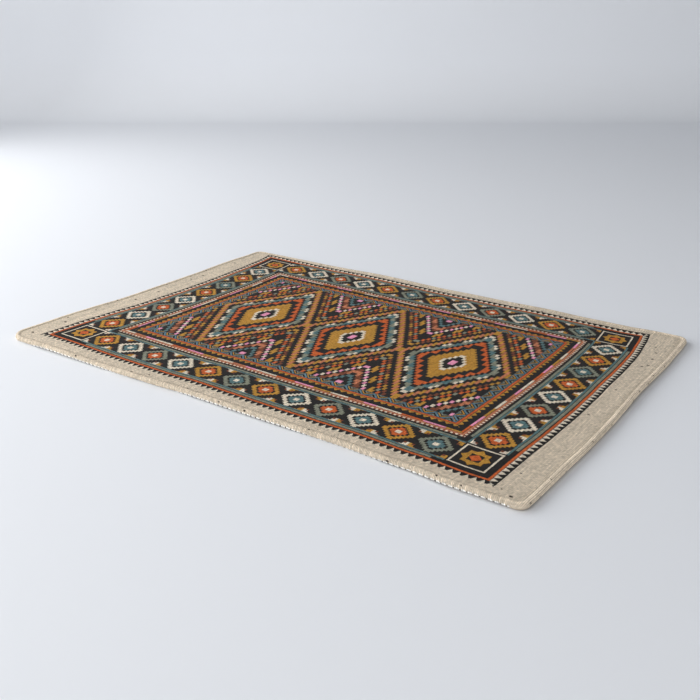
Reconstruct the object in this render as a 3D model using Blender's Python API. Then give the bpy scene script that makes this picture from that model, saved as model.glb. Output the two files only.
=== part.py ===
"""Woven rug lying flat, one thick cloth whose four edges are turned under and stitched down.

Metres, +Z up. X runs along the long sides and Y across them. The origin is at the centre of the box
on the floor. The cloth is a flat panel, and round it a hem that rolls over from the underside to the
face. The outline bows in and out a little, and the hem lifts off the floor in a few low waves.
"""
import math
from collections import namedtuple

import bmesh
import bpy

for leftover in list(bpy.data.objects):
    bpy.data.objects.remove(leftover, do_unlink=True)

MM = 0.001

# Driving dimensions of the cloth, in metres
LENGTH = 0.898
WIDTH = 0.610
CLOTH_THICKNESS = 0.0064
HEM_WIDTH = 0.026

# How far inwards a bow of the edge dies away in the panel
BOW_FADE = 0.190

# Cells of the panel along its length and its width, and of each corner's arc
CELLS_ALONG = 32
CELLS_ACROSS = 22
CELLS_CORNER = 6

MERGE_DISTANCE = 1e-6
SHARP_ANGLE = math.radians(50)

Station = namedtuple("Station", "inset height")
Bow = namedtuple("Bow", "place outward")
Side = namedtuple("Side", "normal cells corner_radius bows")
Lift = namedtuple("Lift", "x y reach_x reach_y rise")

# The hem in section, in millimetres, from the underside round the edge to the face: the flat foot,
# the rolled edge, its ridge, the groove that the seam pulls down, and the turning under the face
HEM_SECTION = (
    Station(inset=26.0, height=0.0),
    Station(inset=4.0, height=0.0),
    Station(inset=1.4, height=0.8),
    Station(inset=0.3, height=2.4),
    Station(inset=0.0, height=4.3),
    Station(inset=0.6, height=6.3),
    Station(inset=1.8, height=8.0),
    Station(inset=3.8, height=8.7),
    Station(inset=5.6, height=8.2),
    Station(inset=6.9, height=7.0),
    Station(inset=7.8, height=6.2),
    Station(inset=9.0, height=6.8),
    Station(inset=12.0, height=7.1),
    Station(inset=18.0, height=7.0),
    Station(inset=26.0, height=6.4),
)

# How far each edge stands out from the true rectangle, in millimetres, at places along X or Y in metres
FRONT_BOWS = (
    Bow(place=-0.46, outward=4.0),
    Bow(place=-0.40, outward=5.2),
    Bow(place=-0.33, outward=4.2),
    Bow(place=-0.27, outward=4.0),
    Bow(place=-0.20, outward=3.0),
    Bow(place=-0.14, outward=1.8),
    Bow(place=-0.07, outward=-2.6),
    Bow(place=0.05, outward=-2.2),
    Bow(place=0.20, outward=-3.6),
    Bow(place=0.29, outward=-0.5),
    Bow(place=0.37, outward=5.0),
    Bow(place=0.46, outward=5.2),
)
RIGHT_BOWS = (
    Bow(place=-0.31, outward=-1.0),
    Bow(place=-0.26, outward=0.5),
    Bow(place=-0.20, outward=1.5),
    Bow(place=-0.13, outward=3.5),
    Bow(place=-0.06, outward=3.3),
    Bow(place=0.00, outward=1.6),
    Bow(place=0.06, outward=-0.4),
    Bow(place=0.18, outward=0.2),
    Bow(place=0.24, outward=-1.8),
    Bow(place=0.31, outward=-4.5),
)
BACK_BOWS = (
    Bow(place=-0.46, outward=-1.0),
    Bow(place=-0.40, outward=-1.5),
    Bow(place=-0.27, outward=-1.0),
    Bow(place=-0.20, outward=1.0),
    Bow(place=-0.14, outward=1.5),
    Bow(place=-0.06, outward=1.0),
    Bow(place=0.02, outward=-1.5),
    Bow(place=0.15, outward=-0.5),
    Bow(place=0.22, outward=-0.5),
    Bow(place=0.28, outward=-1.5),
    Bow(place=0.35, outward=-3.5),
    Bow(place=0.40, outward=0.5),
    Bow(place=0.46, outward=0.0),
)
LEFT_BOWS = (
    Bow(place=-0.31, outward=3.0),
    Bow(place=-0.20, outward=3.0),
    Bow(place=-0.15, outward=0.5),
    Bow(place=-0.08, outward=-4.5),
    Bow(place=0.00, outward=-3.0),
    Bow(place=0.10, outward=-1.2),
    Bow(place=0.16, outward=2.0),
    Bow(place=0.24, outward=2.5),
    Bow(place=0.31, outward=4.5),
)

# The four sides anticlockwise from above, each with the radius in metres of the corner at its end
SIDES = (
    Side(normal=(0, -1), cells=CELLS_ALONG, corner_radius=0.013, bows=FRONT_BOWS),
    Side(normal=(1, 0), cells=CELLS_ACROSS, corner_radius=0.016, bows=RIGHT_BOWS),
    Side(normal=(0, 1), cells=CELLS_ALONG, corner_radius=0.014, bows=BACK_BOWS),
    Side(normal=(-1, 0), cells=CELLS_ACROSS, corner_radius=0.027, bows=LEFT_BOWS),
)

# Low waves where the hem leaves the floor: centre and reach in metres, rise in millimetres
LIFTS = (
    Lift(x=-0.330, y=-0.310, reach_x=0.110, reach_y=0.070, rise=1.0),
    Lift(x=-0.150, y=-0.310, reach_x=0.070, reach_y=0.050, rise=0.8),
    Lift(x=0.390, y=-0.310, reach_x=0.110, reach_y=0.070, rise=1.2),
    Lift(x=0.460, y=0.080, reach_x=0.060, reach_y=0.110, rise=1.0),
    Lift(x=0.210, y=0.310, reach_x=0.080, reach_y=0.070, rise=1.0),
    Lift(x=-0.130, y=0.310, reach_x=0.100, reach_y=0.070, rise=1.2),
    Lift(x=-0.460, y=0.210, reach_x=0.070, reach_y=0.100, rise=1.0),
)


def ease(share):
    """Smooth step from 0 to 1."""
    share = min(max(share, 0.0), 1.0)
    return share * share * (3.0 - 2.0 * share)


def bow_at(bows, place):
    """Outward stand of an edge, in metres, eased between the rows of its table."""
    for before, after in zip(bows, bows[1:]):
        if place <= after.place:
            share = ease((place - before.place) / (after.place - before.place))
            return MM * (before.outward + (after.outward - before.outward) * share)
    return MM * bows[-1].outward


def half_size(normal):
    """Distance from the centre to the side that faces along normal."""
    return LENGTH / 2 if normal[0] else WIDTH / 2


def bowed(x, y):
    """Moves a point of the true rectangle to its place in the bowed outline."""
    shift = [0.0, 0.0]
    for side in SIDES:
        depth = half_size(side.normal) - (x * side.normal[0] + y * side.normal[1])
        hold = 1.0 - ease((depth - HEM_WIDTH) / BOW_FADE)
        outward = bow_at(side.bows, y if side.normal[0] else x) * hold
        shift[0] += side.normal[0] * outward
        shift[1] += side.normal[1] * outward
    return x + shift[0], y + shift[1]


def lift_at(x, y):
    """Height of the underside over the floor."""
    total = 0.0
    for lift in LIFTS:
        along = ease(1.0 - abs(x - lift.x) / lift.reach_x)
        across = ease(1.0 - abs(y - lift.y) / lift.reach_y)
        total += MM * lift.rise * along * across
    return total


def cloth_point(x, y, height):
    """Point of the cloth from its place in the true rectangle and its height over the underside."""
    placed_x, placed_y = bowed(x, y)
    return placed_x, placed_y, height + lift_at(placed_x, placed_y)


def hem_ring(station):
    """Points round the hem at one station. The corners tighten to points at the hem's inner line."""
    inset = MM * station.inset
    height = MM * station.height
    tighten = 1.0 - inset / HEM_WIDTH
    points = []
    for index, side in enumerate(SIDES):
        out_x, out_y = side.normal
        run_x, run_y = -out_y, out_x
        offset = half_size(side.normal) - inset
        reach = half_size((run_x, run_y)) - inset
        start = -reach + SIDES[index - 1].corner_radius * tighten
        radius = side.corner_radius * tighten
        stop = reach - radius
        for cell in range(side.cells + 1):
            run = start + (stop - start) * cell / side.cells
            points.append(cloth_point(out_x * offset + run_x * run, out_y * offset + run_y * run, height))
        for cell in range(1, CELLS_CORNER):
            turn = 0.5 * math.pi * cell / CELLS_CORNER
            out = offset - radius + radius * math.cos(turn)
            run = stop + radius * math.sin(turn)
            points.append(cloth_point(out_x * out + run_x * run, out_y * out + run_y * run, height))
    return points


def add_hem(mesh):
    """Skins the hem from ring to ring, outwards along the underside and back over the face."""
    rings = [[mesh.verts.new(point) for point in hem_ring(station)] for station in HEM_SECTION]
    for lower, upper in zip(rings, rings[1:]):
        for index in range(len(lower)):
            after = (index + 1) % len(lower)
            mesh.faces.new((lower[index], lower[after], upper[after], upper[index]))


def add_panel(mesh, height, face_up):
    """Fills the space inside the hem with a grid of cells, at one height over the underside."""
    half_x = LENGTH / 2 - HEM_WIDTH
    half_y = WIDTH / 2 - HEM_WIDTH
    rows = []
    for row in range(CELLS_ACROSS + 1):
        y = half_y * (2.0 * row / CELLS_ACROSS - 1.0)
        places = [half_x * (2.0 * column / CELLS_ALONG - 1.0) for column in range(CELLS_ALONG + 1)]
        rows.append([mesh.verts.new(cloth_point(x, y, height)) for x in places])
    for front, back in zip(rows, rows[1:]):
        for column in range(CELLS_ALONG):
            corners = [front[column], front[column + 1], back[column + 1], back[column]]
            mesh.faces.new(corners if face_up else corners[::-1])


def centre_on_floor(mesh):
    """Puts the middle of the box over the origin."""
    for axis in (0, 1):
        reaches = [vertex.co[axis] for vertex in mesh.verts]
        middle = (min(reaches) + max(reaches)) / 2
        for vertex in mesh.verts:
            vertex.co[axis] -= middle


def cloth_material():
    """Unbleached oatmeal yarn, dull and without shine."""
    material = bpy.data.materials.new("woven_cloth")
    material.use_nodes = True
    shader = material.node_tree.nodes["Principled BSDF"]
    shader.inputs["Base Color"].default_value = (0.50, 0.43, 0.33, 1.0)
    shader.inputs["Roughness"].default_value = 0.92
    shader.inputs["Metallic"].default_value = 0.0
    return material


def make_rug():
    """The whole cloth with its hem as one closed solid."""
    mesh = bmesh.new()
    add_hem(mesh)
    add_panel(mesh, 0.0, face_up=False)
    add_panel(mesh, CLOTH_THICKNESS, face_up=True)
    bmesh.ops.remove_doubles(mesh, verts=mesh.verts, dist=MERGE_DISTANCE)
    centre_on_floor(mesh)
    data = bpy.data.meshes.new("rug")
    mesh.to_mesh(data)
    mesh.free()
    data.shade_smooth()
    data.set_sharp_from_angle(angle=SHARP_ANGLE)
    data.materials.append(cloth_material())
    rug = bpy.data.objects.new("rug", data)
    bpy.context.scene.collection.objects.link(rug)


make_rug()
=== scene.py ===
import math
from collections import namedtuple

import bmesh
import bpy
from mathutils import Matrix, Vector, noise


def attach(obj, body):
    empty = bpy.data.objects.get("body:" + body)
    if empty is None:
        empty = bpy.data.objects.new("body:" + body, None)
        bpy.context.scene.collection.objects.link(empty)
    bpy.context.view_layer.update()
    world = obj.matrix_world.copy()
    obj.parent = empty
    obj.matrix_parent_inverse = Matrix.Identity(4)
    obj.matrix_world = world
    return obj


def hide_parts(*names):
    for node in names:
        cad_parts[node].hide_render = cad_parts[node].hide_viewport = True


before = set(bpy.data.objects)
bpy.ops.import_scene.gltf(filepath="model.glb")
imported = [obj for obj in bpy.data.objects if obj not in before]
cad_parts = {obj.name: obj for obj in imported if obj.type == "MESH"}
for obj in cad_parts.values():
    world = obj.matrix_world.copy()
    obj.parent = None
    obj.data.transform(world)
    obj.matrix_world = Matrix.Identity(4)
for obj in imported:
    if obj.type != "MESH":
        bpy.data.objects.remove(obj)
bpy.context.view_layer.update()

bpy.ops.object.select_all(action="DESELECT")

# The cloth
# One length of thick ribbed cloth of oatmeal yarn, printed on its face. Its four edges are turned
# under and stitched down, so that they stand up as a soft round hem. It lies flat on the floor.

MM = 0.001
MM_PER_METRE = 1000.0
LENGTH = 0.898
WIDTH = 0.610
CLOTH_THICKNESS = 0.0064
HEM_WIDTH = 0.026
BOW_FADE = 0.190

# The ribs of the weave run across the rug, and their count fills the panel inside the hem. The
# rolled edge follows each rib. The flat cloth has one cell for every four of them.
RIBS = 384
RIB_PITCH = (LENGTH - 2 * HEM_WIDTH) / RIBS
CREST_SHARE = 0.75
Cells = namedtuple("Cells", "long end corner")
ROLL_CELLS = Cells(long=3 * RIBS, end=56, corner=40)
FLAT_CELLS = Cells(long=RIBS // 4, end=56, corner=40)

Station = namedtuple("Station", "inset height rib steps")
Bow = namedtuple("Bow", "place outward")
Side = namedtuple("Side", "normal corner_radius bows")
Lift = namedtuple("Lift", "x y reach_x reach_y rise")
Row = namedtuple("Row", "inset height rib normal_in normal_up laid")
Spot = namedtuple("Spot", "x y laid_x laid_y depth run")

# The hem in section, in millimetres, from the underside round the edge to the face: the depth of
# the ribs there, and the steps to the next row
HEM_SECTION = (
    Station(inset=26.0, height=0.0, rib=0.0, steps=1),
    Station(inset=4.0, height=0.0, rib=0.0, steps=2),
    Station(inset=1.4, height=0.8, rib=0.24, steps=2),
    Station(inset=0.3, height=2.4, rib=0.42, steps=2),
    Station(inset=0.0, height=4.3, rib=0.46, steps=2),
    Station(inset=0.6, height=6.3, rib=0.46, steps=2),
    Station(inset=1.8, height=8.0, rib=0.44, steps=2),
    Station(inset=3.8, height=8.7, rib=0.38, steps=2),
    Station(inset=5.6, height=8.3, rib=0.28, steps=2),
    Station(inset=6.9, height=7.5, rib=0.14, steps=2),
    Station(inset=7.8, height=6.9, rib=0.0, steps=1),
    Station(inset=9.0, height=7.0, rib=0.0, steps=2),
    Station(inset=12.0, height=7.1, rib=0.0, steps=2),
    Station(inset=18.0, height=7.0, rib=0.0, steps=2),
    Station(inset=26.0, height=6.4, rib=0.0, steps=0),
)
FOOT_STATION = 1
RIDGE_STATION = 7
SEAM_STATION = 10

# How far each edge stands out from the true rectangle, in millimetres, at places in metres
FRONT_BOWS = (
    Bow(place=-0.46, outward=4.0),
    Bow(place=-0.40, outward=5.2),
    Bow(place=-0.33, outward=4.2),
    Bow(place=-0.27, outward=4.0),
    Bow(place=-0.20, outward=3.0),
    Bow(place=-0.14, outward=1.8),
    Bow(place=-0.07, outward=-2.6),
    Bow(place=0.05, outward=-2.2),
    Bow(place=0.20, outward=-3.6),
    Bow(place=0.29, outward=-0.5),
    Bow(place=0.37, outward=5.0),
    Bow(place=0.46, outward=5.2),
)
RIGHT_BOWS = (
    Bow(place=-0.31, outward=-1.0),
    Bow(place=-0.26, outward=0.5),
    Bow(place=-0.20, outward=1.5),
    Bow(place=-0.13, outward=3.5),
    Bow(place=-0.06, outward=3.3),
    Bow(place=0.00, outward=1.6),
    Bow(place=0.06, outward=-0.4),
    Bow(place=0.18, outward=0.2),
    Bow(place=0.24, outward=-1.8),
    Bow(place=0.31, outward=-4.5),
)
BACK_BOWS = (
    Bow(place=-0.46, outward=-1.0),
    Bow(place=-0.40, outward=-1.5),
    Bow(place=-0.27, outward=-1.0),
    Bow(place=-0.20, outward=1.0),
    Bow(place=-0.14, outward=1.5),
    Bow(place=-0.06, outward=1.0),
    Bow(place=0.02, outward=-1.5),
    Bow(place=0.15, outward=-0.5),
    Bow(place=0.22, outward=-0.5),
    Bow(place=0.28, outward=-1.5),
    Bow(place=0.35, outward=-3.5),
    Bow(place=0.40, outward=0.5),
    Bow(place=0.46, outward=0.0),
)
LEFT_BOWS = (
    Bow(place=-0.31, outward=3.0),
    Bow(place=-0.20, outward=3.0),
    Bow(place=-0.15, outward=0.5),
    Bow(place=-0.08, outward=-4.5),
    Bow(place=0.00, outward=-3.0),
    Bow(place=0.10, outward=-1.2),
    Bow(place=0.16, outward=2.0),
    Bow(place=0.24, outward=2.5),
    Bow(place=0.31, outward=4.5),
)

# The four sides anticlockwise from above, each with the radius in metres of the corner at its end
SIDES = (
    Side(normal=(0, -1), corner_radius=0.013, bows=FRONT_BOWS),
    Side(normal=(1, 0), corner_radius=0.016, bows=RIGHT_BOWS),
    Side(normal=(0, 1), corner_radius=0.014, bows=BACK_BOWS),
    Side(normal=(-1, 0), corner_radius=0.027, bows=LEFT_BOWS),
)

# Low waves where the hem leaves the floor: centre and reach in metres, rise in millimetres
LIFTS = (
    Lift(x=-0.330, y=-0.310, reach_x=0.110, reach_y=0.070, rise=1.0),
    Lift(x=-0.150, y=-0.310, reach_x=0.070, reach_y=0.050, rise=0.8),
    Lift(x=0.390, y=-0.310, reach_x=0.110, reach_y=0.070, rise=1.2),
    Lift(x=0.460, y=0.080, reach_x=0.060, reach_y=0.110, rise=1.0),
    Lift(x=0.210, y=0.310, reach_x=0.080, reach_y=0.070, rise=1.0),
    Lift(x=-0.130, y=0.310, reach_x=0.100, reach_y=0.070, rise=1.2),
    Lift(x=-0.460, y=0.210, reach_x=0.070, reach_y=0.100, rise=1.0),
)

# From the middle of the true rectangle to the middle of the bowed outline's box
BOX_CENTRE = (-0.000326, -0.001845)

# The cloth isn't quite even: the height of its slow waves, and how many there are in a metre
WAVE_HEIGHT = 0.0004
WAVES = (12.0, 15.0)

MERGE_DISTANCE = 1e-6


def ease(share):
    """Smooth step from 0 to 1."""
    share = min(max(share, 0.0), 1.0)
    return share * share * (3.0 - 2.0 * share)


def bow_at(bows, place):
    """Outward stand of an edge, eased between the rows of its table."""
    for before, after in zip(bows, bows[1:]):
        if place <= after.place:
            share = ease((place - before.place) / (after.place - before.place))
            return MM * (before.outward + (after.outward - before.outward) * share)
    return MM * bows[-1].outward


def half_size(normal):
    """Distance from the centre to the side that faces along normal."""
    return LENGTH / 2 if normal[0] else WIDTH / 2


def placed(x, y, height):
    """Moves a point of the true rectangle to its place in the bowed, lifted cloth."""
    shift_x = 0.0
    shift_y = 0.0
    for side in SIDES:
        depth = half_size(side.normal) - (x * side.normal[0] + y * side.normal[1])
        hold = 1.0 - ease((depth - HEM_WIDTH) / BOW_FADE)
        if hold > 0.0:
            outward = bow_at(side.bows, y if side.normal[0] else x) * hold
            shift_x += side.normal[0] * outward
            shift_y += side.normal[1] * outward
    placed_x = x + shift_x
    placed_y = y + shift_y
    rise = 0.0
    for lift in LIFTS:
        along = ease(1.0 - abs(placed_x - lift.x) / lift.reach_x)
        across = ease(1.0 - abs(placed_y - lift.y) / lift.reach_y)
        rise += MM * lift.rise * along * across
    wave = WAVE_HEIGHT * noise.noise(Vector((x * WAVES[0], y * WAVES[1], 0.0))) * height / CLOTH_THICKNESS
    return placed_x - BOX_CENTRE[0], placed_y - BOX_CENTRE[1], height + rise + wave


def rib_dome(x):
    """Round back of a rib, 0 in the valley and 1 on the crest."""
    across = (x / RIB_PITCH) % 1.0
    return 1.0 - (2.0 * across - 1.0) ** 2


def hem_rows():
    """The hem's rows on a smooth line, with the normal and the place of each on the unrolled cloth."""
    table = [(MM * row.inset, MM * row.height, MM * row.rib) for row in HEM_SECTION]
    lengths = [0.0]
    for before, after in zip(table, table[1:]):
        lengths.append(lengths[-1] + math.dist(before[:2], after[:2]))
    slopes = []
    for index in range(len(table)):
        low = max(index - 1, 0)
        high = min(index + 1, len(table) - 1)
        reach = lengths[high] - lengths[low]
        slopes.append([(b - a) / reach for a, b in zip(table[low], table[high])])
    points = []
    for index, row in enumerate(HEM_SECTION[:-1]):
        span = lengths[index + 1] - lengths[index]
        for step in range(row.steps):
            s = step / row.steps
            weights = (
                (1 + 2 * s) * (1 - s) ** 2,
                s * (1 - s) ** 2 * span,
                s * s * (3 - 2 * s),
                s * s * (s - 1) * span,
            )
            knots = zip(table[index], slopes[index], table[index + 1], slopes[index + 1])
            point = [sum(w * v for w, v in zip(weights, values)) for values in knots]
            points.append((point[0], max(point[1], 0.0), max(point[2], 0.0)))
    points.append(table[-1])
    laid = [HEM_WIDTH]
    for before, after in zip(points[::-1], points[-2::-1]):
        laid.append(laid[-1] - math.dist(before[:2], after[:2]))
    laid.reverse()
    rows = []
    for index, (inset, height, rib) in enumerate(points):
        before = points[max(index - 1, 0)]
        after = points[min(index + 1, len(points) - 1)]
        size = math.dist(before[:2], after[:2])
        normal = ((before[1] - after[1]) / size, (after[0] - before[0]) / size)
        rows.append(Row(inset, height, rib, *normal, laid[index]))
    return rows


def ring_plan(inset, cells):
    """Plan of the hem at one inset, as (x, y, outward x, outward y), anticlockwise from the front left."""
    reach = HEM_WIDTH - inset
    plan = []
    for side in SIDES:
        out_x, out_y = side.normal
        run_x, run_y = -out_y, out_x
        span = half_size((run_x, run_y)) - HEM_WIDTH
        panel = half_size(side.normal) - HEM_WIDTH
        count = cells.end if out_x else cells.long
        for cell in range(count + 1):
            run = span * (2.0 * cell / count - 1.0)
            out = panel + reach
            plan.append((out_x * out + run_x * run, out_y * out + run_y * run, out_x, out_y))
        radius = side.corner_radius * reach / HEM_WIDTH
        straight = reach - radius
        arc = 0.5 * math.pi * radius
        for cell in range(1, cells.corner):
            along = (2.0 * straight + arc) * cell / cells.corner
            turn = min(max((along - straight) / arc, 0.0), 1.0) * 0.5 * math.pi if arc else 0.0
            run = span + min(along, straight) + radius * math.sin(turn)
            out = panel + reach - radius + radius * math.cos(turn) - max(along - straight - arc, 0.0)
            face_x = out_x * math.cos(turn) + run_x * math.sin(turn)
            face_y = out_y * math.cos(turn) + run_y * math.sin(turn)
            plan.append((out_x * out + run_x * run, out_y * out + run_y * run, face_x, face_y))
    return plan


ROWS = hem_rows()
FOOT_ROW = sum(station.steps for station in HEM_SECTION[:FOOT_STATION])
SEAM_ROW = sum(station.steps for station in HEM_SECTION[:SEAM_STATION])
SEAM = ROWS[SEAM_ROW]
RIDGE = ROWS[sum(station.steps for station in HEM_SECTION[:RIDGE_STATION])]


def seam_line(cells):
    """Points along the groove that the seam pulls down."""
    return [Vector(placed(x, y, SEAM.height)) for x, y, _, _ in ring_plan(SEAM.inset, cells)]


def lengths_along(line):
    """Length of a line up to each of its points."""
    lengths = [0.0]
    for before, after in zip(line, line[1:]):
        lengths.append(lengths[-1] + (after - before).length)
    return lengths


# The underside's place on the cloth's map, below the face, and its depth on the hem's map, past all
# that the hem shows. Then the places of the face and the underside on the bake's map.
UNDERSIDE_SHIFT = -1.2
UNDERSIDE_DEPTH = 1.0
BAKE_SCALE = 1.0 / 0.97
BAKE_UNDER_SCALE = 0.52
BAKE_FACE = (0.5, 0.665)
BAKE_UNDER = (0.5, 0.165)


class Weaver:
    """Builds the cloth's mesh, and keeps the place of each point on the unrolled cloth."""

    def __init__(self):
        self.mesh = bmesh.new()
        self.maps = [self.mesh.loops.layers.uv.new(name) for name in ("cloth", "hem", "OFBake")]
        self.spots = {}

    def point(self, place, spot):
        vert = self.mesh.verts.new(place)
        self.spots[vert] = spot
        return vert

    def face(self, corners, below=False):
        """A face with its maps. One that is below lies against the floor."""
        made = self.mesh.faces.new(corners[::-1] if below else corners)
        for loop in made.loops:
            spot = self.spots[loop.vert]
            if below:
                places = (
                    (spot.x, spot.y + UNDERSIDE_SHIFT),
                    (0.0, UNDERSIDE_DEPTH),
                    (BAKE_UNDER[0] + spot.x * BAKE_UNDER_SCALE, BAKE_UNDER[1] + spot.y * BAKE_UNDER_SCALE),
                )
            else:
                places = (
                    (spot.laid_x, spot.laid_y),
                    (spot.run, spot.depth),
                    (BAKE_FACE[0] + spot.laid_x * BAKE_SCALE, BAKE_FACE[1] + spot.laid_y * BAKE_SCALE),
                )
            for layer, place in zip(self.maps, places):
                loop[layer].uv = place

    def ring(self, row, cells):
        """One round of points."""
        verts = []
        runs = lengths_along(seam_line(cells))
        for plan, laid, run in zip(ring_plan(row.inset, cells), ring_plan(row.laid, cells), runs):
            x, y, out_x, out_y = plan
            rise = row.rib * (rib_dome(laid[0]) - CREST_SHARE) * out_y * out_y
            out = -row.normal_in * rise
            place = placed(x + out_x * out, y + out_y * out, row.height + row.normal_up * rise)
            verts.append(self.point(place, Spot(x, y, laid[0], laid[1], row.laid, run)))
        return verts

    def skin(self, lower, upper):
        """The strip between two rounds with the same count of points."""
        for index in range(len(lower)):
            after = (index + 1) % len(lower)
            self.face([lower[index], lower[after], upper[after], upper[index]])

    def coarsen(self, roll, flat, below):
        """The strip between the roll, with its points at each rib, and a round of the flat cloth."""
        start = 0
        flat_start = 0
        for side in SIDES:
            straight = (ROLL_CELLS.long, FLAT_CELLS.long)
            if side.normal[0]:
                straight = (ROLL_CELLS.end, FLAT_CELLS.end)
            for many, few in (straight, (ROLL_CELLS.corner, FLAT_CELLS.corner)):
                share = many // few
                for cell in range(few):
                    edge = [roll[(start + share * cell + step) % len(roll)] for step in range(share + 1)]
                    inner = [flat[(flat_start + cell + step) % len(flat)] for step in (1, 0)]
                    self.face(edge + inner, below)
                start += many
                flat_start += few

    def panel(self, height, below):
        """The flat cloth inside the hem."""
        half_x = LENGTH / 2 - HEM_WIDTH
        half_y = WIDTH / 2 - HEM_WIDTH
        rows = []
        for row in range(FLAT_CELLS.end + 1):
            y = half_y * (2.0 * row / FLAT_CELLS.end - 1.0)
            verts = []
            for column in range(FLAT_CELLS.long + 1):
                x = half_x * (2.0 * column / FLAT_CELLS.long - 1.0)
                verts.append(self.point(placed(x, y, height), Spot(x, y, x, y, HEM_WIDTH, 0.0)))
            rows.append(verts)
        for front, back in zip(rows, rows[1:]):
            for column in range(FLAT_CELLS.long):
                self.face([front[column], front[column + 1], back[column + 1], back[column]], below)

    def finished(self, name):
        """The mesh as an object, its doubled points merged."""
        bmesh.ops.remove_doubles(self.mesh, verts=self.mesh.verts, dist=MERGE_DISTANCE)
        data = bpy.data.meshes.new(name)
        self.mesh.to_mesh(data)
        self.mesh.free()
        data.shade_smooth()
        made = bpy.data.objects.new(name, data)
        bpy.context.scene.collection.objects.link(made)
        return made


def woven_cloth():
    """The whole cloth as one closed mesh: underside, rolled edge and face."""
    cloth = Weaver()
    roll = [cloth.ring(row, ROLL_CELLS) for row in ROWS[FOOT_ROW:SEAM_ROW + 1]]
    for lower, upper in zip(roll, roll[1:]):
        cloth.skin(lower, upper)
    flat = [cloth.ring(row, FLAT_CELLS) for row in ROWS[SEAM_ROW + 1:]]
    cloth.coarsen(roll[-1], flat[0], below=False)
    for lower, upper in zip(flat, flat[1:]):
        cloth.skin(lower, upper)
    cloth.panel(CLOTH_THICKNESS, below=False)
    cloth.coarsen(roll[0], cloth.ring(ROWS[0], FLAT_CELLS), below=True)
    cloth.panel(0.0, below=True)
    return cloth.finished("rug_cloth")


cloth_piece = woven_cloth()

# The yarn and the print
# Oatmeal yarn with a few dark neps in it, woven in low ribs. The print is dyed into the face in a
# folk pattern of stepped lozenges inside sawtooth and striped guards, and it follows the cloth.


class Flow:
    """A value on its way through a material. Sums on it add Math nodes."""

    def __init__(self, tree, socket):
        self.tree = tree
        self.socket = socket

    def node(self, kind, settings, sockets, output=0):
        """A node of any kind: its settings first, then the values or links of its sockets."""
        made = self.tree.nodes.new(kind)
        for name, value in settings.items():
            if name == "stops":
                ramp = made.color_ramp
                ramp.interpolation = value[0]
                for index, (place, colour) in enumerate(value[1:]):
                    if index < 2:
                        ramp.elements[index].position = place
                        ramp.elements[index].color = colour
                    else:
                        ramp.elements.new(place).color = colour
            else:
                setattr(made, name, value)
        for name, value in sockets.items():
            if isinstance(value, Flow):
                self.tree.links.new(value.socket, made.inputs[name])
            else:
                made.inputs[name].default_value = value
        return Flow(self.tree, made.outputs[output])

    def math(self, operation, *values):
        """A Math node on this value and the others."""
        return self.node("ShaderNodeMath", {"operation": operation}, dict(enumerate((self, *values))))

    def __add__(self, other):
        return self.math("ADD", other)

    __radd__ = __add__

    def __sub__(self, other):
        return self.math("SUBTRACT", other)

    def __rsub__(self, other):
        return self.node("ShaderNodeMath", {"operation": "SUBTRACT"}, {0: other, 1: self})

    def __mul__(self, other):
        return self.math("MULTIPLY", other)

    __rmul__ = __mul__

    def __truediv__(self, other):
        return self.math("DIVIDE", other)

    def __mod__(self, other):
        return self.math("FLOORED_MODULO", other)

    def __lt__(self, other):
        return self.math("LESS_THAN", other)

    def __gt__(self, other):
        return self.math("GREATER_THAN", other)

    def __abs__(self):
        return self.math("ABSOLUTE")

    def floor(self):
        return self.math("FLOOR")

    def squared(self):
        return self * self

    def least(self, other):
        return self.math("MINIMUM", other)

    def most(self, other):
        return self.math("MAXIMUM", other)

    def between(self, low, high):
        """1 where the value lies between two others."""
        return (self > low) * (self < high)

    def steps(self, first, last):
        """1 where the value, a whole number, is one from first to last."""
        return self.between(first - 0.5, last + 0.5)

    def choose(self, off, on):
        """off where this value is 0 and on where it is 1, for numbers."""
        return self.node("ShaderNodeMix", {"data_type": "FLOAT"}, {0: self, 2: off, 3: on})

    def tint(self, off, on):
        """off where this value is 0 and on where it is 1, for colours."""
        return self.node("ShaderNodeMix", {"data_type": "RGBA"}, {0: self, 6: off, 7: on}, output=2)


LIGHT_SHARE = 0.92


def dyed(red, green, blue):
    """Linear colour of a dye from its shade on screen, under a share of full light."""
    shades = (red / 255.0, green / 255.0, blue / 255.0)
    linear = [s / 12.92 if s <= 0.04045 else ((s + 0.055) / 1.055) ** 2.4 for s in shades]
    return (*[min(value / LIGHT_SHARE, 1.0) for value in linear], 1.0)


OATMEAL = dyed(198, 184, 164)
NEP = dyed(58, 48, 44)
WHITE = dyed(240, 238, 232)
CREAM = dyed(208, 196, 176)
CHARCOAL = dyed(33, 31, 30)
OCHRE = dyed(172, 126, 50)
RUST = dyed(184, 88, 42)
CLAY = dyed(176, 110, 78)
TEAL = dyed(80, 108, 110)
SAGE = dyed(122, 124, 108)
BLUE = dyed(90, 118, 130)
NAVY = dyed(38, 48, 52)
ROSE = dyed(216, 140, 168)
BROWN = dyed(112, 62, 42)

# Half the length and half the width of the print, in millimetres
PRINT_LONG = 401.7
PRINT_WIDE = 285.4

# How the print lies on the cloth, in millimetres. Its cross lines bow along the rug by a cubic curve
# over the width, which is counted in bow widths from the middle. It is longer towards the front, a
# little wide, shifted and skewed, and its long lines bow towards the front.
Bend = namedtuple("Bend", "level slope square cube")
CROSS_BEND = Bend(level=4.2, slope=5.23, square=-6.58, cube=-5.06)
BOW_WIDTH = 230.0
FRONT_STRETCH = 0.00274
WIDTH_SHARE = 0.998
WIDTH_SHIFT = -1.85
SKEW = 0.0108
LONG_BOW = 2.1e-5

# The rest of the print's sizes are in millimetres too, and depth is from its edge. Along the front
# side the print starts at this depth.
FRONT_START = 2.0

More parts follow.
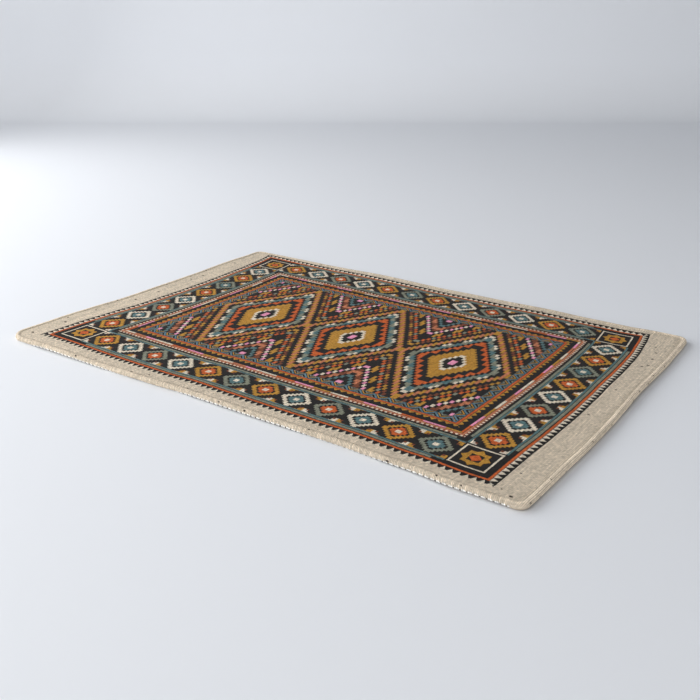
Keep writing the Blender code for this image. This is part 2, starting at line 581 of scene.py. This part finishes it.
Teeth = namedtuple("Teeth", "base tip share")
Stripe = namedtuple("Stripe", "outer inner colour")
Guard = namedtuple("Guard", "outer inner repeat")
Nest = namedtuple("Nest", "first last colour second block")
BySide = namedtuple("BySide", "side end")

# Cream sawteeth round the print. They point outwards, and inwards along the front side.
TOOTH_COUNT = BySide(side=78, end=58)
OUTWARD_TEETH = Teeth(base=9.8, tip=1.6, share=0.92)
FRONT_TEETH = Teeth(base=FRONT_START, tip=10.0, share=0.68)

# Plain stripes of the border, from the outside in
STRIPES = (
    Stripe(outer=10.5, inner=14.0, colour=RUST),
    Stripe(outer=20.8, inner=24.0, colour=TEAL),
    Stripe(outer=73.0, inner=76.2, colour=TEAL),
    Stripe(outer=84.6, inner=88.4, colour=BROWN),
    Stripe(outer=88.4, inner=91.6, colour=CLAY),
    Stripe(outer=109.6, inner=113.0, colour=RUST),
    Stripe(outer=114.0, inner=126.4, colour=BLUE),
)

# Stripes that are sage along the middle of a side and charcoal towards its ends
SAGE_STRIPES = (
    Stripe(outer=15.6, inner=19.8, colour=SAGE),
    Stripe(outer=77.0, inner=80.8, colour=SAGE),
)

# How far before the end of a side its sage stripes stop
SAGE_END = 92.0

# The chain of stepped lozenges between the guards: its band, whose repeat is the size of a step, the
# depth of its middle line, how far before the print's corners it ends, and its count of lozenges
CHAIN = Guard(outer=24.0, inner=73.0, repeat=3.9)
CHAIN_MIDDLE = 48.5
CHAIN_END = 76.4
CHAIN_COUNT = BySide(side=12.0, end=8.0)

# The square at each corner of the chain, by distance from its middle: the square itself, a cream
# frame, a star of a square and a lozenge, its dark heart, and the lozenge in that
CORNER_SQUARE = 28.0
CORNER_FRAME = (22.8, 25.2)
STAR_SQUARE = 14.0
STAR_LOZENGE = 19.8
STAR_HEART = 8.5
HEART_LOZENGE = 8.6

# The inner guards: dots, a thin line of many colours, a row of ochre peaks, and a zigzag whose
# strokes have their own repeat
DOTS = Guard(outer=85.0, inner=88.2, repeat=7.0)
DOT_SHARE = 0.24
LINE = Guard(outer=92.4, inner=95.8, repeat=210.0)
LINE_SHIFT = 30.0
LINE_COLOURS = (
    "CONSTANT",
    (0.0, CREAM),
    (0.18, RUST),
    (0.34, ROSE),
    (0.5, OCHRE),
    (0.64, CREAM),
    (0.78, CLAY),
    (0.9, ROSE),
)
PEAKS = Guard(outer=103.0, inner=108.8, repeat=11.0)
ZIGZAG = Guard(outer=114.6, inner=125.8, repeat=24.0)
STROKE_REPEAT = 17.0
STROKE_COLOURS = (
    "CONSTANT",
    (0.0, CHARCOAL),
    (0.22, BLUE),
    (0.42, NAVY),
    (0.54, OCHRE),
    (0.68, CHARCOAL),
    (0.84, SAGE),
)

# The field starts at this depth. Each of its lozenges has this many steps from the middle to a tip.
BORDER_DEPTH = 127.4
FIELD_STEPS = 19
LOZENGES = 3

# Nested lozenges of the field, by step from the middle of one out to the middle of its neighbour.
# Where block isn't 0 the second colour takes turns with the first, in blocks of that many steps. The
# blocks are counted from far aside, at a multiple of all their repeats, so that no count is negative,
# and the first of a pair ends just before the half.
NESTS = (
    Nest(first=0, last=0, colour=ROSE, second=ROSE, block=0),
    Nest(first=2, last=3, colour=CREAM, second=CHARCOAL, block=1),
    Nest(first=4, last=7, colour=OCHRE, second=OCHRE, block=0),
    Nest(first=8, last=8, colour=OCHRE, second=CHARCOAL, block=1),
    Nest(first=10, last=10, colour=RUST, second=CHARCOAL, block=2),
    Nest(first=11, last=11, colour=RUST, second=RUST, block=0),
    Nest(first=13, last=14, colour=TEAL, second=SAGE, block=3),
    Nest(first=15, last=15, colour=CHARCOAL, second=CREAM, block=4),
    Nest(first=17, last=18, colour=OCHRE, second=CLAY, block=2),
    Nest(first=20, last=20, colour=SAGE, second=CHARCOAL, block=1),
    Nest(first=21, last=21, colour=OCHRE, second=BROWN, block=4),
    Nest(first=23, last=23, colour=RUST, second=SAGE, block=3),
    Nest(first=25, last=26, colour=OCHRE, second=CHARCOAL, block=4),
    Nest(first=28, last=28, colour=CREAM, second=ROSE, block=2),
    Nest(first=30, last=31, colour=CLAY, second=BROWN, block=3),
    Nest(first=33, last=34, colour=TEAL, second=CHARCOAL, block=1),
    Nest(first=36, last=36, colour=ROSE, second=ROSE, block=0),
)
BLOCK_START = 96.0
FIRST_BLOCK = 0.499

# White teeth on black along the front foot of the hem, cut from the next print: their pitch and
# height, how far past the rug's edge their feet lie on the unrolled cloth, and where they end before
# its corners. From the left to the right, over the span, they sink out of sight under the edge by
# these shares of their height.
FOOT_PITCH = 8.25
FOOT_HEIGHT = 3.6
FOOT_DROP = 6.6
FOOT_END = 16.0
FOOT_SPAN = 900.0
FOOT_SINK = (
    (0.0, 1.0),
    (0.06, 0.7),
    (0.09, 0.1),
    (0.25, 0.15),
    (0.29, 0.9),
    (0.40, 0.9),
    (0.44, 0.1),
    (0.63, 0.0),
    (0.68, 0.6),
    (0.76, 0.6),
    (0.80, 0.1),
)

# The black behind the teeth, from below their feet, and a tooth's round outline: shares of its height
# and of half its pitch
FOOT_BLACK = (-0.3, 0.72)
TOOTH_TALL = 2.15
TOOTH_MIDDLE = 1.1
TOOTH_WIDE = 0.8

# The yarn, in millimetres: the pitch of its knots along a rib, and the lengths of one thickness and
# of one shade, with the share of a length by which each rib's lie further than the last one's
KNOT_PITCH = 1.45
SLUB_LENGTH = 5.5
SLUB_STAGGER = 0.37
STRAND_LENGTH = 55.0
STRAND_STAGGER = 0.61

# Pitch of the hem's stitches in millimetres. The cloth shows the holes that they go into as dots of
# painted shade.
STITCH_PITCH = 3.8

# Neps lie in patches that are longer along the rug
NEP_STRETCH = 0.7

# How far the print's lines waver along and across the rug, and from knot to knot
WAVER = (1.3, 1.1)
KNOT_WAVER = 0.5

# How far along the cloth the wavering and the small neps are read, to differ from the rest
WAVER_SHIFT = 300.0
NEP_SHIFT = 40.0

# Where the fuzz is thicker than this, a share of the plain yarn shows through the print
FUZZ_THICK = 0.68
FUZZ_SHOWS = 0.10

# How light each detail of the yarn makes it: where the detail is 0, and how much more where it is 1
Tone = namedtuple("Tone", "low gain")
KNOT_TONE = Tone(low=0.79, gain=0.40)
# The rib and knot humps are painted shade: lighter on their tops and darker in the valleys between them
RIB_PAINTED_SHADE = Tone(low=0.80, gain=0.27)
YARN_PAINTED_SHADE = Tone(low=0.94, gain=0.07)
FUZZ_TONE = Tone(low=0.93, gain=0.14)
SLUB_TONE = Tone(low=0.93, gain=0.12)
FLEECE_TONE = Tone(low=0.97, gain=0.05)
CLOTH_TONE = 1.08

# Strands of another shade, and painted shade in the gaps between ribs, on the flat cloth and on the rolled
# edge. Every other rib is a little paler, and on the flat cloth only a share of the knots leaves a shaded
# gap.
ByPlace = namedtuple("ByPlace", "flat roll")
STRAND_TONE = ByPlace(flat=0.16, roll=0.26)
GAP_SHADE = ByPlace(flat=0.42, roll=0.60)
PAIR_TONE = 0.11
GAP_SHARE = 0.42

# A painted highlight makes the hem's ridge paler, most at the ends, and painted light lifts the shade of
# the groove a little. Painted shade darkens the stitches' holes. Each has its reach in millimetres and its
# strength.
RIDGE_REACH = 3.2
RIDGE_HIGHLIGHT = BySide(side=0.04, end=0.46)
GROOVE_REACH = 5.0
GROOVE_PAINTED_LIGHT = 0.06
HOLE_REACH = 1.1
HOLE_START = 0.7
HOLE_SHADE = 0.35

# Height of each detail of the yarn in the bump, in millimetres, and the dullness of the yarn
Relief = namedtuple("Relief", "rib yarn knot fuzz")
RELIEF = Relief(rib=0.10, yarn=0.07, knot=0.08, fuzz=0.16)
ROUGHNESS = Tone(low=0.86, gain=0.12)


def map_places(tree, name):
    """Place on one of the cloth's maps in millimetres, as two values."""
    maps = tree.nodes.new("ShaderNodeUVMap")
    maps.uv_map = name
    start = Flow(tree, maps.outputs[0])
    axes = [start.node("ShaderNodeSeparateXYZ", {}, {0: start}, output=axis) for axis in (0, 1)]
    return [axis * MM_PER_METRE for axis in axes]


def speckle(along, across, scale, detail=2.0, rough=0.5):
    """Noise on the cloth, from 0 to 1, with scale in patches per millimetre."""
    spot = along.node("ShaderNodeCombineXYZ", {}, {0: along, 1: across})
    sockets = {"Vector": spot, "Scale": scale, "Detail": detail, "Roughness": rough}
    return along.node("ShaderNodeTexNoise", {"noise_dimensions": "2D"}, sockets)


def neps(along, across, pitch, share, size):
    """Dark specks of yarn strewn over the cloth, one to a patch and only in a share of the patches."""
    spot = along.node("ShaderNodeCombineXYZ", {}, {0: along * NEP_STRETCH, 1: across})
    settings = {"voronoi_dimensions": "2D"}
    sockets = {"Vector": spot, "Scale": 1.0 / pitch}
    distance = along.node("ShaderNodeTexVoronoi", settings, sockets)
    patch = along.node("ShaderNodeTexVoronoi", settings, sockets, output=1)
    chance = patch.node("ShaderNodeSeparateColor", {}, {0: patch})
    return (distance * pitch < size * (0.5 + chance / share * 0.5)) * (chance < share)


def hump(place):
    """A round hump over each unit of a place, 0 at its ends and 1 on its top."""
    return 1.0 - ((place % 1.0) * 2.0 - 1.0).squared()


def yarn_chance(rib_number, place):
    """A chance number from 0 to 1 for each length of yarn in each rib."""
    spot = place.node("ShaderNodeCombineXYZ", {}, {0: rib_number, 1: place.floor()})
    return place.node("ShaderNodeTexWhiteNoise", {"noise_dimensions": "2D"}, {"Vector": spot})


def print_places(along, across):
    """Place on the print, which lies a little skewed and bowed on the cloth."""
    place = across / BOW_WIDTH
    bend = CROSS_BEND
    bow = place * (place * (place * bend.cube + bend.square) + bend.slope) + bend.level
    long_way = along - bow + along * (place - 1.0) * FRONT_STRETCH
    wide_way = across * WIDTH_SHARE + WIDTH_SHIFT + along * SKEW - along.squared() * LONG_BOW
    return long_way, wide_way


def teeth(depth, run, pitch, row):
    """Sawteeth that take a share of the row at the depth base and end at the depth tip."""
    across_tooth = abs((run / pitch) % 1.0 * 2.0 - 1.0)
    narrowing = (depth - row.tip) / (row.base - row.tip) * row.share
    return (across_tooth < narrowing) * depth.between(min(row.base, row.tip), max(row.base, row.tip))


def within(depth, guard):
    """1 in the depths that a stripe or a guard takes."""
    return depth.between(guard.outer, guard.inner)


def on_front(at_end, wide_way):
    """1 along the front side of the print."""
    return (wide_way < 0.0) * (1.0 - at_end)


def lozenge_chain(colour, depth, run, half, at_end):
    """The chain of stepped lozenges between the guards of the border."""
    count = at_end.choose(*CHAIN_COUNT)
    reach = half - CHAIN_END
    place = (run + reach) / (2.0 * reach) * count
    step_along = (abs(place % 1.0 - 0.5) * 2.0 * reach / count / CHAIN.repeat).floor()
    step_across = (abs(depth - CHAIN_MIDDLE) / CHAIN.repeat).floor()
    step = step_along + step_across
    band = within(depth, CHAIN) * (abs(run) < reach)
    parity = place.floor() % 2.0
    third = place.floor() % 3.0
    outer_colour = (third > 1.5).tint(parity.tint(OCHRE, CREAM), SAGE)
    inner_colour = parity.tint(RUST, TEAL)
    colour = (band * step.steps(4, 5)).tint(colour, outer_colour)
    colour = (band * step.steps(1, 2)).tint(colour, inner_colour)
    colour = (band * (step < 0.5)).tint(colour, CREAM)
    colour = (band * (step > 9.5)).tint(colour, parity.tint(CREAM, OCHRE))
    return (band * step.steps(9, 9) * (step_along % 2.0)).tint(colour, BROWN)


def corner_stars(colour, long_way, wide_way):
    """The framed square with an eight-pointed star at each corner of the chain."""
    star_long = abs(PRINT_LONG - abs(long_way) - CHAIN_MIDDLE)
    star_wide = abs(PRINT_WIDE - abs(wide_way) - CHAIN_MIDDLE)
    square = star_long.most(star_wide)
    lozenge = star_long + star_wide
    colour = (square < CORNER_SQUARE).tint(colour, CHARCOAL)
    colour = square.between(*CORNER_FRAME).tint(colour, CREAM)
    colour = (square < STAR_SQUARE).most(lozenge < STAR_LOZENGE).tint(colour, OCHRE)
    colour = (square < STAR_HEART).tint(colour, CHARCOAL)
    return (lozenge < HEART_LOZENGE).tint(colour, RUST)


def inner_guards(colour, depth, run):
    """The dots, the line of many colours, the peaks and the zigzag between the chain and the field."""
    dots = abs((run / DOTS.repeat) % 1.0 - 0.5) < DOT_SHARE
    colour = (dots * within(depth, DOTS)).tint(colour, CREAM)
    place = ((run + LINE_SHIFT) / LINE.repeat) % 1.0
    segment = run.node("ShaderNodeValToRGB", {"stops": LINE_COLOURS}, {0: place})
    colour = within(depth, LINE).tint(colour, segment)
    peak = abs((run / PEAKS.repeat) % 1.0 - 0.5) * 2.0
    peaks = (depth - PEAKS.outer) / (PEAKS.inner - PEAKS.outer) > peak
    colour = (within(depth, PEAKS) * peaks).tint(colour, OCHRE)
    slant = abs((run / ZIGZAG.repeat) % 1.0 - 0.5) * ZIGZAG.repeat
    place = ((slant + depth) / STROKE_REPEAT) % 1.0
    stroke = slant.node("ShaderNodeValToRGB", {"stops": STROKE_COLOURS}, {0: place})
    return within(depth, ZIGZAG).tint(colour, stroke)


def border(colour, depth, run, at_end, long_way, wide_way):
    """The teeth, guards and lozenge chain of the border over the ground colour."""
    pitch = at_end.choose(2 * PRINT_LONG / TOOTH_COUNT.side, 2 * PRINT_WIDE / TOOTH_COUNT.end)
    outward = teeth(depth, run, pitch, OUTWARD_TEETH)
    front = teeth(depth, run, pitch, FRONT_TEETH)
    colour = on_front(at_end, wide_way).choose(outward, front).tint(colour, CREAM)
    for stripe in STRIPES:
        colour = within(depth, stripe).tint(colour, stripe.colour)
    half = at_end.choose(PRINT_LONG, PRINT_WIDE)
    towards_middle = abs(run) < half - SAGE_END
    for stripe in SAGE_STRIPES:
        colour = (within(depth, stripe) * towards_middle).tint(colour, stripe.colour)
    colour = lozenge_chain(colour, depth, run, half, at_end)
    colour = corner_stars(colour, long_way, wide_way)
    return inner_guards(colour, depth, run)


def field(colour, long_way, wide_way):
    """Three nested lozenges in the middle, with half ones between them."""
    half_long = PRINT_LONG - BORDER_DEPTH
    half_wide = PRINT_WIDE - BORDER_DEPTH
    period = half_long / (LOZENGES / 2)
    folded = abs((long_way / period + 0.5) % 1.0 - 0.5) * period
    step_long = (folded / (half_long / LOZENGES / FIELD_STEPS)).floor()
    step_wide = (abs(wide_way) / (half_wide / FIELD_STEPS)).floor()
    nest = step_long + step_wide
    aside = step_long - step_wide + BLOCK_START
    pattern = colour
    for row in NESTS:
        shade = row.colour
        if row.block:
            shade = ((aside / (2.0 * row.block)) % 1.0 < FIRST_BLOCK).tint(row.colour, row.second)
        pattern = nest.steps(row.first, row.last).tint(pattern, shade)
    inside = (abs(long_way) < half_long) * (abs(wide_way) < half_wide)
    return inside.tint(colour, pattern)


def foot_teeth(colour, along, across):
    """White teeth on black, cut from the next print, that show along the front foot of the hem."""
    stops = ("LINEAR", *((place, (sink,) * 4) for place, sink in FOOT_SINK))
    sunk = along.node("ShaderNodeValToRGB", {"stops": stops}, {0: along / FOOT_SPAN + 0.5})
    front_edge = WIDTH / 2 * MM_PER_METRE
    height = (across + front_edge + FOOT_DROP + sunk * FOOT_HEIGHT) / FOOT_HEIGHT
    tooth = abs((along / FOOT_PITCH) % 1.0 - 0.5) * 2.0
    white = (height * TOOTH_TALL - TOOTH_MIDDLE).squared() + (tooth / TOOTH_WIDE).squared() < 1.0
    along_side = abs(along) < LENGTH / 2 * MM_PER_METRE - FOOT_END
    black = height.between(*FOOT_BLACK) * along_side
    return (white * along_side).tint(black.tint(colour, CHARCOAL), WHITE)


def toned(detail, tone):
    """How light a detail makes the yarn."""
    return tone.low + detail * tone.gain


def printed_cloth():
    """Finish of the whole cloth."""
    material = bpy.data.materials.new("printed_cloth")
    material.use_nodes = True
    tree = material.node_tree
    shader = tree.nodes["Principled BSDF"]
    along, across = map_places(tree, "cloth")
    run_along, depth_in = map_places(tree, "hem")

    rib_place = along / (RIB_PITCH * MM_PER_METRE)
    rib_number = rib_place.floor()
    rib = hump(rib_place)
    knot_place = across / KNOT_PITCH + (rib_number % 2.0) * 0.5
    yarn = hump(knot_place)
    knot = yarn_chance(rib_number, knot_place)
    slub = yarn_chance(rib_number, across / SLUB_LENGTH + rib_number * SLUB_STAGGER)
    strand = yarn_chance(rib_number, across / STRAND_LENGTH + rib_number * STRAND_STAGGER) - 0.5
    pairs = (rib_number % 2.0 - 0.5) * (strand + 0.5)
    fuzz = speckle(along, across, 0.9, detail=3.0, rough=0.6)
    fleece = speckle(along, across, 0.05)
    roll = depth_in < SEAM.laid * MM_PER_METRE

    uneven = speckle(along + WAVER_SHIFT, across, 0.3) - 0.5
    wavy_along = along + uneven * WAVER[0]
    wavy_across = across + uneven * WAVER[1] + (knot - 0.5) * KNOT_WAVER
    long_way, wide_way = print_places(wavy_along, wavy_across)
    from_end = PRINT_LONG - abs(long_way)
    from_side = PRINT_WIDE - abs(wide_way)
    depth = from_end.least(from_side)
    at_end = from_end < from_side
    run = at_end.choose(long_way, wide_way)
    ink = border(CHARCOAL, depth, run, at_end, long_way, wide_way)
    ink = field(ink, long_way, wide_way)

    plain = neps(along, across, pitch=26.0, share=0.6, size=1.9).tint(OATMEAL, NEP)
    plain = (neps(along + NEP_SHIFT, across, pitch=9.0, share=0.4, size=0.6) * 0.5).tint(plain, NEP)
    plain = foot_teeth(plain, along, across)
    shown = depth > on_front(at_end, wide_way) * FRONT_START
    colour = (shown * (1.0 - (fuzz > FUZZ_THICK) * FUZZ_SHOWS)).tint(plain, ink)

    stitch = abs((run_along / STITCH_PITCH) % 1.0 - 0.5) * 2.0
    from_seam = abs(depth_in - SEAM.laid * MM_PER_METRE)
    # Painted shade: dark dots in the stitches' holes
    hole_shade = (from_seam < HOLE_REACH) * (stitch > HOLE_START) * HOLE_SHADE
    # Painted shade in the gaps between the ribs
    gap_shade = (1.0 - rib).squared() * (knot < GAP_SHARE).most(roll)
    # Painted highlight along the hem's ridge, strongest at the ends
    ridge_highlight = 1.0 - (abs(depth_in - RIDGE.laid * MM_PER_METRE) / RIDGE_REACH).least(1.0)
    # Painted light that lifts the shade in the hem's groove
    groove = 1.0 - (from_seam / GROOVE_REACH).least(1.0)
    # The rib and knot humps paint shade into the valleys between them
    tone = toned(knot, KNOT_TONE) * toned(rib, RIB_PAINTED_SHADE) * toned(yarn, YARN_PAINTED_SHADE) * toned(fuzz, FUZZ_TONE)
    tone = tone * toned(slub, SLUB_TONE) * (1.0 + strand * roll.choose(*STRAND_TONE) + pairs * PAIR_TONE)
    tone = tone * toned(fleece, FLEECE_TONE) * (1.0 - gap_shade * roll.choose(*GAP_SHADE)) * (1.0 - hole_shade)
    tone = tone * (1.0 + ridge_highlight * at_end.choose(*RIDGE_HIGHLIGHT)) * (1.0 + groove * GROOVE_PAINTED_LIGHT)
    sockets = {0: colour, "Scale": tone * CLOTH_TONE}
    shaded = along.node("ShaderNodeVectorMath", {"operation": "SCALE"}, sockets)
    tree.links.new(shaded.socket, shader.inputs["Base Color"])

    height = rib * RELIEF.rib + yarn * RELIEF.yarn + knot * RELIEF.knot + fuzz * RELIEF.fuzz
    bump = along.node("ShaderNodeBump", {}, {"Strength": 1.0, "Distance": MM, "Height": height})
    tree.links.new(bump.socket, shader.inputs["Normal"])
    tree.links.new(toned(fuzz, ROUGHNESS).socket, shader.inputs["Roughness"])
    shader.inputs["Specular IOR Level"].default_value = 0.08
    shader.inputs["Sheen Weight"].default_value = 0.02
    shader.inputs["Sheen Roughness"].default_value = 0.6
    return material


cloth_piece.data.materials.append(printed_cloth())
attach(cloth_piece, "root")
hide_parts("rug")

# The seam of the hem
# One row of plain stitches in thick cream thread, sunk in the groove that they pull into the cloth.

STITCH_LENGTH = 2.7 * MM
STITCH_THICKNESS = 1.0 * MM

# How far a stitch's ends bend down, in thicknesses, and how far it lies above the groove's line
STITCH_BEND = 0.6
STITCH_RISE = 0.25 * MM


def one_stitch():
    """A stitch along X: a short length of thread that goes down into the cloth at both ends."""
    bpy.ops.mesh.primitive_uv_sphere_add(segments=8, ring_count=6, radius=0.5)
    stitch = bpy.context.object
    bpy.ops.object.mode_set(mode="EDIT")
    bpy.ops.transform.rotate(value=math.pi / 2, orient_axis="Y", center_override=(0.0, 0.0, 0.0))
    bpy.ops.transform.resize(value=(STITCH_LENGTH, STITCH_THICKNESS, STITCH_THICKNESS))
    bpy.ops.object.mode_set(mode="OBJECT")
    for vertex in stitch.data.vertices:
        vertex.co.z -= STITCH_THICKNESS * (2.0 * vertex.co.x / STITCH_LENGTH) ** 2 * STITCH_BEND
    stitch.data.shade_smooth()
    return stitch


def sewn_seam(stitch):
    """Copies of the stitch all along the groove, joined into one piece."""
    line = seam_line(ROLL_CELLS)
    lengths = lengths_along(line)
    bpy.ops.object.select_all(action="DESELECT")
    index = 0
    for number in range(int(lengths[-1] / (STITCH_PITCH * MM))):
        place = (number + 0.5) * STITCH_PITCH * MM
        while lengths[index + 1] < place:
            index += 1
        before, after = line[index], line[index + 1]
        ahead = (after - before).normalized()
        spot = before + ahead * (place - lengths[index]) + Vector((0.0, 0.0, STITCH_RISE))
        aside = Vector((-ahead.y, ahead.x, 0.0))
        turn = Matrix((ahead, aside, ahead.cross(aside))).transposed().to_4x4()
        copied = stitch.copy()
        copied.data = stitch.data.copy()
        copied.data.transform(Matrix.Translation(spot) @ turn)
        bpy.context.scene.collection.objects.link(copied)
        copied.select_set(True)
        bpy.context.view_layer.objects.active = copied
    bpy.ops.object.join()
    bpy.data.objects.remove(stitch)
    return bpy.context.object


def sewing_thread():
    """Cream thread, twisted from fine strands."""
    material = bpy.data.materials.new("sewing_thread")
    material.use_nodes = True
    tree = material.node_tree
    shader = tree.nodes["Principled BSDF"]
    coordinates = tree.nodes.new("ShaderNodeTexCoord")
    place = Flow(tree, coordinates.outputs["Object"])
    strands = place.node("ShaderNodeTexNoise", {}, {"Vector": place, "Scale": 900.0, "Detail": 2.0})
    colour = strands.tint(dyed(176, 162, 142), dyed(214, 202, 184))
    tree.links.new(colour.socket, shader.inputs["Base Color"])
    bump = place.node("ShaderNodeBump", {}, {"Strength": 0.6, "Distance": 0.0003, "Height": strands})
    tree.links.new(bump.socket, shader.inputs["Normal"])
    shader.inputs["Roughness"].default_value = 0.85
    return material


seam_piece = sewn_seam(one_stitch())
seam_piece.name = "hem_stitches"
seam_piece.data.name = "hem_stitches"
seam_piece.data.materials.append(sewing_thread())
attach(seam_piece, "root")

# The floor
# A plain pale studio floor that sweeps up into a wall behind. It isn't part of the rug.

VIEW_TURN = math.radians(35.403)
CAMERA_PLACE = Vector((0.7631, -1.0682, 0.5068))
WALL_DISTANCE = 4.2
FLOOR_SIZE = 24.0
WALL_HEIGHT = 6.0
SWEEP = 0.25
SWEEP_STEPS = 16
ahead = Vector((-math.sin(VIEW_TURN), math.cos(VIEW_TURN), 0.0))
wall_line = WALL_DISTANCE + ahead.x * CAMERA_PLACE.x + ahead.y * CAMERA_PLACE.y


def on_wall_line(point):
    """Whether a point of the floor lies where the wall stands."""
    close = 1e-4
    return abs(point.y - wall_line) < close and abs(point.z) < close


def select_wall_line():
    """Selects the floor's edge where the wall stands."""
    for edge in floor.data.edges:
        edge.select = all(on_wall_line(floor.data.vertices[index].co) for index in edge.vertices)


bpy.ops.mesh.primitive_plane_add(size=FLOOR_SIZE, location=(0.0, wall_line - FLOOR_SIZE / 2, 0.0))
floor = bpy.context.object
floor.name = "floor"
bpy.ops.object.transform_apply(location=True)
select_wall_line()
bpy.ops.object.mode_set(mode="EDIT")
bpy.ops.mesh.select_mode(type="EDGE")
bpy.ops.mesh.extrude_edges_move(TRANSFORM_OT_translate={"value": (0.0, 0.0, WALL_HEIGHT)})
bpy.ops.object.mode_set(mode="OBJECT")
select_wall_line()
bpy.ops.object.mode_set(mode="EDIT")
bpy.ops.mesh.bevel(offset=SWEEP, segments=SWEEP_STEPS, profile=0.5, affect="EDGES")
bpy.ops.object.mode_set(mode="OBJECT")
floor.data.transform(Matrix.Rotation(VIEW_TURN, 4, "Z"))
floor.data.shade_smooth()

paint = bpy.data.materials.new("floor_paint")
paint.use_nodes = True
floor_shader = paint.node_tree.nodes["Principled BSDF"]
floor_shader.inputs["Base Color"].default_value = (0.81, 0.828, 0.862, 1.0)
floor_shader.inputs["Roughness"].default_value = 0.9
floor_shader.inputs["Specular IOR Level"].default_value = 0.1
floor.data.materials.append(paint)

# The light
# Two wide soft windows on the left, one before the rug and one beside it, a small one high over
# the left end, a low fill on the right, a strip high over the foot of the wall, and a pale room.

ROOM_COLOUR = (0.93, 0.96, 1.0, 1.0)
ROOM_STRENGTH = 0.19
world = bpy.data.worlds.new("studio")
bpy.context.scene.world = world
world.use_nodes = True
world.node_tree.nodes["Background"].inputs["Color"].default_value = ROOM_COLOUR
world.node_tree.nodes["Background"].inputs["Strength"].default_value = ROOM_STRENGTH


def soft_light(name, side, forward, height, width, tall, power, aim):
    """A soft box at a place beside and in front of the camera's foot, turned towards a point."""
    lamp = bpy.data.lights.new(name, "AREA")
    lamp.shape = "RECTANGLE"
    lamp.size = width
    lamp.size_y = tall
    lamp.energy = power
    stand = bpy.data.objects.new(name, lamp)
    bpy.context.scene.collection.objects.link(stand)
    right = Vector((ahead.y, -ahead.x, 0.0))
    foot = Vector((CAMERA_PLACE.x, CAMERA_PLACE.y, 0.0))
    stand.location = foot + right * side + ahead * forward + Vector((0.0, 0.0, height))
    stand.visible_camera = False
    stand.rotation_mode = "QUATERNION"
    stand.rotation_quaternion = (Vector(aim) - stand.location).to_track_quat("-Z", "Y")


soft_light("window", side=-2.4, forward=0.4, height=0.7,
           width=2.4, tall=1.4, power=51.0, aim=(-0.2, 0.0, 0.3))
soft_light("back_window", side=-1.8, forward=2.2, height=1.2,
           width=2.0, tall=2.2, power=35.0, aim=(0.0, 0.0, 0.4))
soft_light("top_left", side=-1.6, forward=-0.4, height=2.2,
           width=1.5, tall=1.5, power=25.0, aim=(-1.0, -0.7, 0.0))
soft_light("low_fill", side=2.2, forward=-0.8, height=0.4,
           width=1.6, tall=0.8, power=34.5, aim=(0.4, 0.0, 0.0))
soft_light("wall_strip", side=-2.2, forward=3.6, height=2.2,
           width=3.0, tall=0.4, power=11.5, aim=(-3.23, 0.75, 0.0))

# The camera
# It stands at the photograph's angle, and its lens is set for a square frame.

CAMERA_TILT = math.radians(90.0 - 21.748)
FOCAL_PIXELS = 881.06
IMAGE_PIXELS = 700
view = bpy.data.cameras.new("camera")
view.sensor_width = 36.0
view.lens = view.sensor_width * FOCAL_PIXELS / IMAGE_PIXELS
view.shift_x = -0.000714
view.shift_y = 0.000714
view.clip_end = 50.0
camera = bpy.data.objects.new("camera", view)
bpy.context.scene.collection.objects.link(camera)
camera.location = CAMERA_PLACE
camera.rotation_euler = (CAMERA_TILT, 0.0, VIEW_TURN)
bpy.context.scene.camera = camera
bpy.context.scene.view_settings.view_transform = "Standard"
